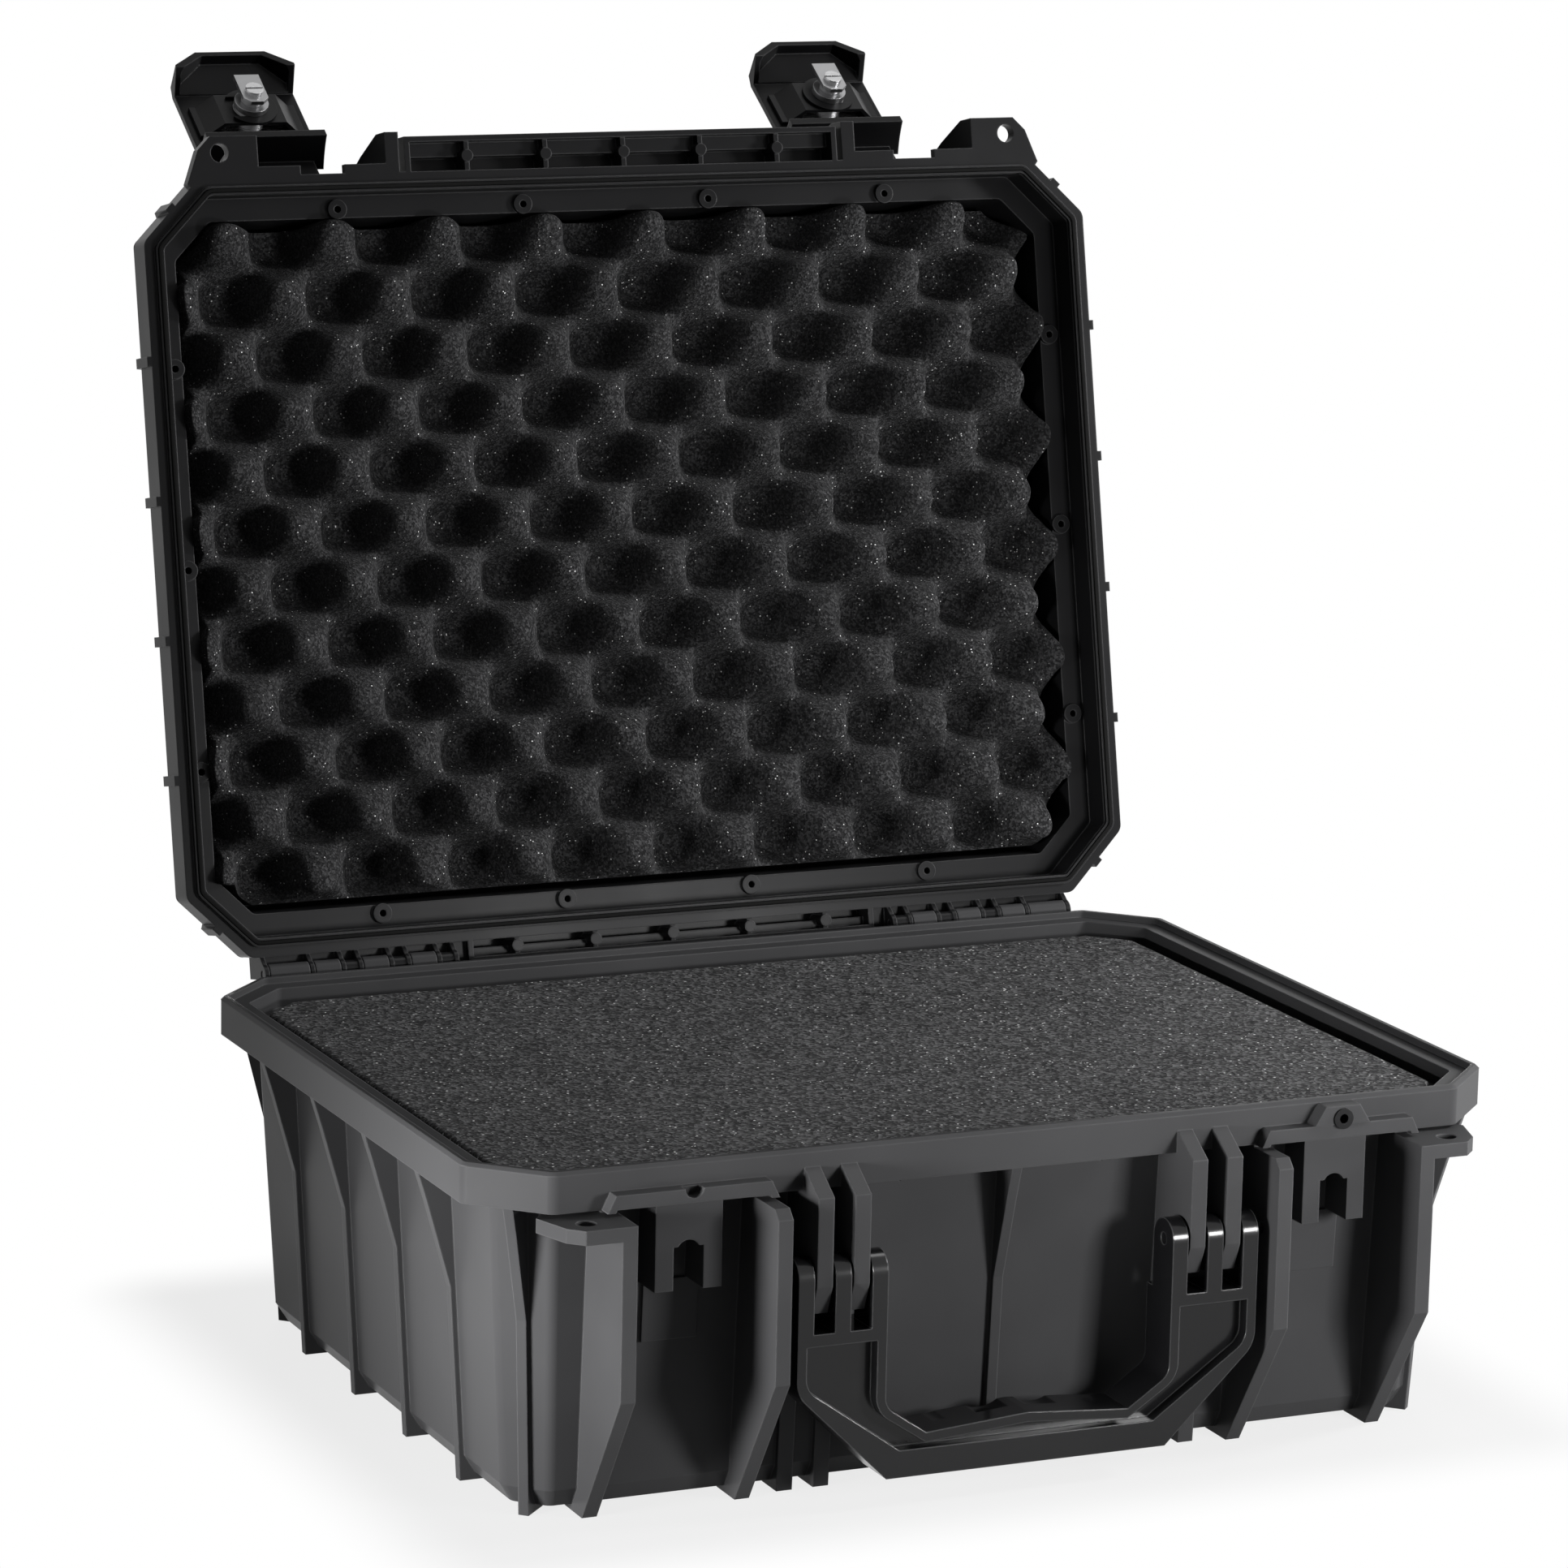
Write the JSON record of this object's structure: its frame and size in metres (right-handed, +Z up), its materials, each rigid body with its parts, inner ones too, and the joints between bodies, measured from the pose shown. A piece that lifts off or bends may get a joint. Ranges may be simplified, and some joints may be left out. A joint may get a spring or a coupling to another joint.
{
  "type": "hard case",
  "caption": "Moulded plastic hard case standing open, with a foam lining, a hinged lid, keyed flip latches, padlock ears and a swing handle",
  "frame": {"origin": "the middle foot under the base, on the ground below the centre of the base rim", "axes": "+X along the length, -Y is the front with the handle, +Z is up"},
  "size_m": [0.469, 0.5841, 0.5395],
  "materials": {
    "shell": "moulded black plastic with a fine grain",
    "handle": "smooth black moulded plastic",
    "foam": "charcoal polyurethane foam",
    "gasket": "black rubber",
    "membrane": "grey vent membrane",
    "dark_steel": "black coated steel",
    "zinc": "die-cast zinc",
    "steel": "plated steel"
  },
  "bodies": {
    "base": {"base_shell": "shell", "base_foam_pad": "foam", "base_foam_lower": "foam", "base_foam_upper": "foam", "vent_sleeve": "steel", "vent_membrane": "membrane", "hinge_pin_left": "dark_steel", "hinge_pin_right": "dark_steel", "handle_pin_left": "dark_steel", "handle_pin_right": "dark_steel"},
    "lid": {"lid_shell": "shell", "lid_gasket": "gasket", "lid_foam": "foam", "latch_pin_left": "dark_steel", "latch_pin_right": "dark_steel"},
    "handle": {"handle": "handle"},
    "latch_left": {"latch_cover_left": "shell", "lock_housing_left": "zinc", "lock_washer_left": "steel", "lock_bracket_left": "dark_steel", "lock_clip_left": "steel"},
    "lock_left": {"lock_plug_left": "zinc", "lock_cam_left": "zinc", "cam_screw_left": "steel"},
    "latch_right": {"latch_cover_right": "shell", "lock_housing_right": "zinc", "lock_washer_right": "steel", "lock_bracket_right": "dark_steel", "lock_clip_right": "steel"},
    "lock_right": {"lock_plug_right": "zinc", "lock_cam_right": "zinc", "cam_screw_right": "steel"}
  },
  "joints": [
    {"name": "lid_hinge", "type": "hinge", "parent": "base", "child": "lid", "pos_m": [0, 0.1818, 0.1485], "axis": [1, 0, 0], "range_deg": [0, 101.8]},
    {"name": "handle_swing", "type": "hinge", "parent": "base", "child": "handle", "pos_m": [0, -0.1806, 0.099], "axis": [-1, 0, 0], "range_deg": [0, 95]},
    {"name": "latch_left_flip", "type": "hinge", "parent": "lid", "child": "latch_left", "pos_m": [-0.1465, 0.28633, 0.48504], "axis": [1, 0, 0], "range_deg": [0, 135.6]},
    {"name": "lock_left_turn", "type": "hinge", "parent": "latch_left", "child": "lock_left", "pos_m": [-0.1465, 0.3619, 0.50607], "axis": [0, -0.5388, 0.8425], "range_deg": [0, 180]},
    {"name": "latch_right_flip", "type": "hinge", "parent": "lid", "child": "latch_right", "pos_m": [0.1465, 0.28633, 0.48504], "axis": [1, 0, 0], "range_deg": [0, 135.6]},
    {"name": "lock_right_turn", "type": "hinge", "parent": "latch_right", "child": "lock_right", "pos_m": [0.1465, 0.3619, 0.50607], "axis": [0, -0.5388, 0.8425], "range_deg": [0, 180]}
  ]
}
